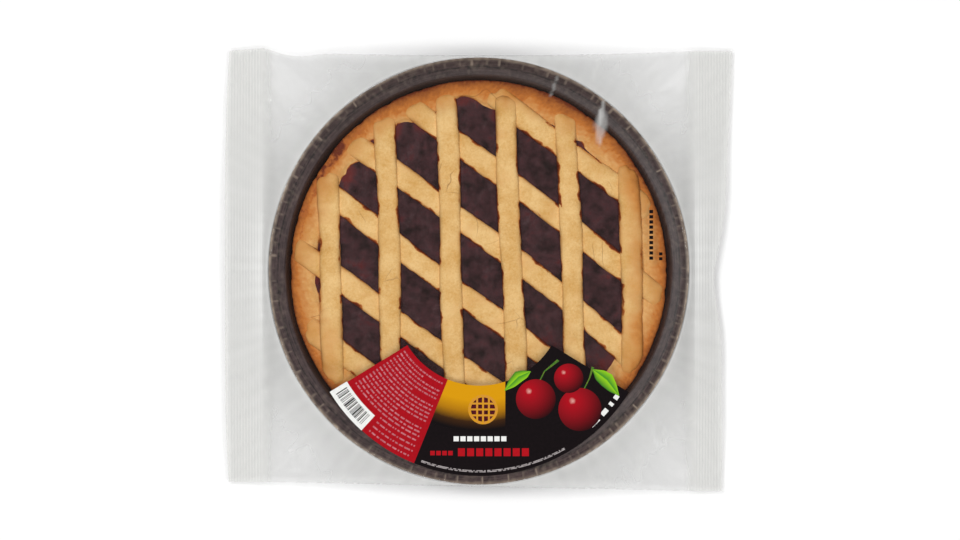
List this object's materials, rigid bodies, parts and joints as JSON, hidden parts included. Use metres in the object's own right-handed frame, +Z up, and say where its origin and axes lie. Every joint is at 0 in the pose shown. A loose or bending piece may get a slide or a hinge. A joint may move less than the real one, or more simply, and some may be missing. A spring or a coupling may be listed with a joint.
{
  "type": "jam crostata in a clear bag",
  "caption": "Round lattice-topped jam tart in a pressed paperboard baking case, sealed flat in a clear flow-wrap bag with crimped end seals.",
  "frame": {"origin": "on the surface that the pack rests on, under the middle of the round baking case", "axes": "+X along the bag from one end seal to the other, +Y across the bag towards the side away from the printed label, +Z up"},
  "size_m": [0.2951, 0.256, 0.0228],
  "materials": {
    "film": "gloss",
    "paperboard": "matte",
    "crust": "matte",
    "lattice": "matte",
    "jam": "gloss"
  },
  "bodies": {
    "root": {"bag_film": "film", "baking_case": "paperboard", "crust": "crust", "jam": "jam", "strip_under_1": "lattice", "strip_under_2": "lattice", "strip_under_3": "lattice", "strip_under_4": "lattice", "strip_under_5": "lattice", "strip_under_6": "lattice", "strip_top_1": "lattice", "strip_top_2": "lattice", "strip_top_3": "lattice", "strip_top_4": "lattice", "strip_top_5": "lattice", "strip_top_6": "lattice"}
  },
  "joints": []
}
